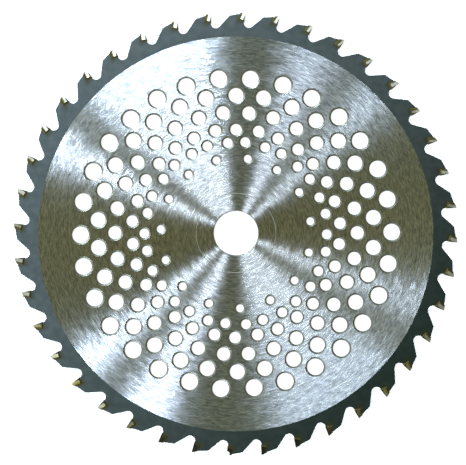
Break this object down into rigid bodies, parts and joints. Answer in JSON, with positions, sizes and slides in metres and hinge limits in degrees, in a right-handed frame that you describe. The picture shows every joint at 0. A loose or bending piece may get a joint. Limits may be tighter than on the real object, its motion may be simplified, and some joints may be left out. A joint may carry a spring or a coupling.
{
  "type": "brush cutter blade",
  "caption": "Flat round saw-type brush cutter blade with a ground centre, a punched hole field, a round arbor bore and brazed carbide tips on hooked teeth.",
  "frame": {"origin": "centre of the arbor bore, in the middle plane of the steel plate", "axes": "+Z along the bore axis, out of the side that the picture shows, with the teeth pointing clockwise seen from +Z; +X to the right and +Y up in the picture"},
  "size_m": [0.2548, 0.2545, 0.0022],
  "materials": {
    "plate_steel": "hardened spring steel, circular ground centre, blue-grey unground rim",
    "carbide": "ground tungsten carbide",
    "braze_brass": "brass filler, tarnished by the torch"
  },
  "bodies": {
    "root": {"blade_plate": "plate_steel", "carbide_tip_01": "carbide", "carbide_tip_02": "carbide", "carbide_tip_03": "carbide", "carbide_tip_04": "carbide", "carbide_tip_05": "carbide", "carbide_tip_06": "carbide", "carbide_tip_07": "carbide", "carbide_tip_08": "carbide", "carbide_tip_09": "carbide", "carbide_tip_10": "carbide", "carbide_tip_11": "carbide", "carbide_tip_12": "carbide", "carbide_tip_13": "carbide", "carbide_tip_14": "carbide", "carbide_tip_15": "carbide", "carbide_tip_16": "carbide", "carbide_tip_17": "carbide", "carbide_tip_18": "carbide", "carbide_tip_19": "carbide", "carbide_tip_20": "carbide", "carbide_tip_21": "carbide", "carbide_tip_22": "carbide", "carbide_tip_23": "carbide", "carbide_tip_24": "carbide", "carbide_tip_25": "carbide", "carbide_tip_26": "carbide", "carbide_tip_27": "carbide", "carbide_tip_28": "carbide", "carbide_tip_29": "carbide", "carbide_tip_30": "carbide", "carbide_tip_31": "carbide", "carbide_tip_32": "carbide", "carbide_tip_33": "carbide", "carbide_tip_34": "carbide", "carbide_tip_35": "carbide", "carbide_tip_36": "carbide", "carbide_tip_37": "carbide", "carbide_tip_38": "carbide", "carbide_tip_39": "carbide", "carbide_tip_40": "carbide", "braze_seams": "braze_brass"}
  },
  "joints": []
}
